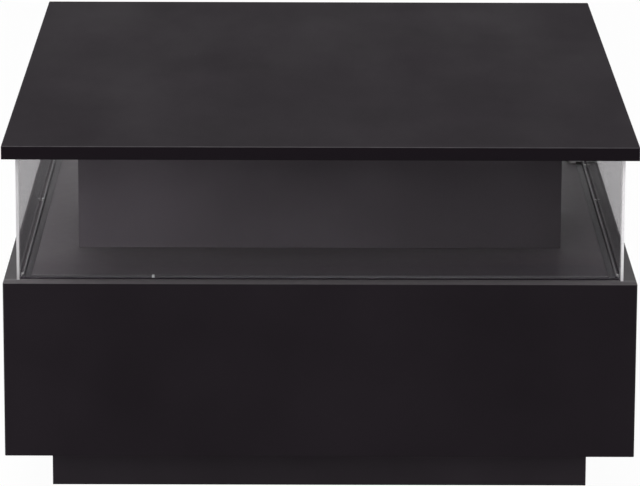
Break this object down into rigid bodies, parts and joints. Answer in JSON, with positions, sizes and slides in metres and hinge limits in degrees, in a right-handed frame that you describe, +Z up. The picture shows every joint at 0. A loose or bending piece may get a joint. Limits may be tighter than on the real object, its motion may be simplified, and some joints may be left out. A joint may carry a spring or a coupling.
{
  "type": "display table",
  "caption": "Low black collectors table with a clear acrylic display gallery round a pedestal, a box with side drawers on ball bearing runners, and a recessed plinth.",
  "frame": {"origin": "centre of the table's footprint on the floor", "axes": "+X to the right and -Y towards the pictured front, +Z up"},
  "size_m": [0.7, 0.9, 0.4],
  "materials": {
    "black_laminate": "satin laminate",
    "carcass_board": "satin laminate",
    "clear_acrylic": "polished clear",
    "light_strip": "soft sheen sleeve",
    "clip_plastic": "moulded",
    "birch_plywood": "raw",
    "softwood": "sawn",
    "grommet_rubber": "matt",
    "drawer_board": "matt melamine",
    "drawer_sheet": "matt melamine",
    "runner_steel": "zinc plated, roll formed",
    "cage_steel": "zinc plated strip",
    "ball_steel": "polished"
  },
  "bodies": {
    "carcass": {"top_panel": "black_laminate", "display_floor": "black_laminate", "front_panel": "black_laminate", "rear_panel": "black_laminate", "bottom_board": "black_laminate", "centre_partition": "carcass_board", "pedestal_front": "black_laminate", "pedestal_rear": "black_laminate", "pedestal_left": "black_laminate", "pedestal_right": "black_laminate", "plinth_front": "black_laminate", "plinth_rear": "black_laminate", "plinth_left": "black_laminate", "plinth_right": "black_laminate", "plinth_brace": "black_laminate", "pane_left": "clear_acrylic", "pane_right": "clear_acrylic", "side_light_strips": "light_strip", "cross_light_strips": "light_strip", "strip_clips": "clip_plastic", "strip_joint": "clip_plastic", "carcass_tongues": "birch_plywood", "corner_tongues": "birch_plywood", "pedestal_battens": "softwood", "plinth_blocks": "softwood", "lead_grommet": "grommet_rubber", "left_front_runner_cabinet": "runner_steel", "left_rear_runner_cabinet": "runner_steel", "right_front_runner_cabinet": "runner_steel", "right_rear_runner_cabinet": "runner_steel"},
    "left_drawer": {"left_drawer_front": "black_laminate", "left_drawer_side_front": "drawer_board", "left_drawer_side_rear": "drawer_board", "left_drawer_back": "drawer_board", "left_drawer_bottom": "drawer_sheet", "left_drawer_tongues": "birch_plywood", "left_front_runner_drawer": "runner_steel", "left_rear_runner_drawer": "runner_steel"},
    "left_runner_middles": {"left_front_runner_middle": "runner_steel", "left_rear_runner_middle": "runner_steel"},
    "left_outer_cages": {"left_outer_cages": "cage_steel", "left_outer_balls": "ball_steel"},
    "left_inner_cages": {"left_inner_cages": "cage_steel", "left_inner_balls": "ball_steel"},
    "right_drawer": {"right_drawer_front": "black_laminate", "right_drawer_side_front": "drawer_board", "right_drawer_side_rear": "drawer_board", "right_drawer_back": "drawer_board", "right_drawer_bottom": "drawer_sheet", "right_drawer_tongues": "birch_plywood", "right_front_runner_drawer": "runner_steel", "right_rear_runner_drawer": "runner_steel"},
    "right_runner_middles": {"right_front_runner_middle": "runner_steel", "right_rear_runner_middle": "runner_steel"},
    "right_outer_cages": {"right_outer_cages": "cage_steel", "right_outer_balls": "ball_steel"},
    "right_inner_cages": {"right_inner_cages": "cage_steel", "right_inner_balls": "ball_steel"},
    "front_pane": {"pane_front": "clear_acrylic"},
    "rear_pane": {"pane_rear": "clear_acrylic"}
  },
  "joints": [
    {"name": "left_drawer_slide", "type": "slide", "parent": "carcass", "child": "left_drawer", "axis": [-1, 0, 0], "range_m": [0, 0.28]},
    {"name": "left_middles_slide", "type": "slide", "parent": "carcass", "child": "left_runner_middles", "axis": [-1, 0, 0], "range_m": [0, 0.14]},
    {"name": "left_outer_cages_slide", "type": "slide", "parent": "carcass", "child": "left_outer_cages", "axis": [-1, 0, 0], "range_m": [0, 0.07]},
    {"name": "left_inner_cages_slide", "type": "slide", "parent": "carcass", "child": "left_inner_cages", "axis": [-1, 0, 0], "range_m": [0, 0.21]},
    {"name": "right_drawer_slide", "type": "slide", "parent": "carcass", "child": "right_drawer", "axis": [1, 0, 0], "range_m": [0, 0.28]},
    {"name": "right_middles_slide", "type": "slide", "parent": "carcass", "child": "right_runner_middles", "axis": [1, 0, 0], "range_m": [0, 0.14]},
    {"name": "right_outer_cages_slide", "type": "slide", "parent": "carcass", "child": "right_outer_cages", "axis": [1, 0, 0], "range_m": [0, 0.07]},
    {"name": "right_inner_cages_slide", "type": "slide", "parent": "carcass", "child": "right_inner_cages", "axis": [1, 0, 0], "range_m": [0, 0.21]},
    {"name": "front_pane_lift", "type": "slide", "parent": "carcass", "child": "front_pane", "axis": [0, 0, 1], "range_m": [0, 0.0045]},
    {"name": "rear_pane_lift", "type": "slide", "parent": "carcass", "child": "rear_pane", "axis": [0, 0, 1], "range_m": [0, 0.0045]}
  ],
  "couplings": [
    {"joint": "left_middles_slide", "follows": "left_drawer_slide", "ratio": 0.5},
    {"joint": "left_outer_cages_slide", "follows": "left_drawer_slide", "ratio": 0.25},
    {"joint": "left_inner_cages_slide", "follows": "left_drawer_slide", "ratio": 0.75},
    {"joint": "right_middles_slide", "follows": "right_drawer_slide", "ratio": 0.5},
    {"joint": "right_outer_cages_slide", "follows": "right_drawer_slide", "ratio": 0.25},
    {"joint": "right_inner_cages_slide", "follows": "right_drawer_slide", "ratio": 0.75}
  ]
}
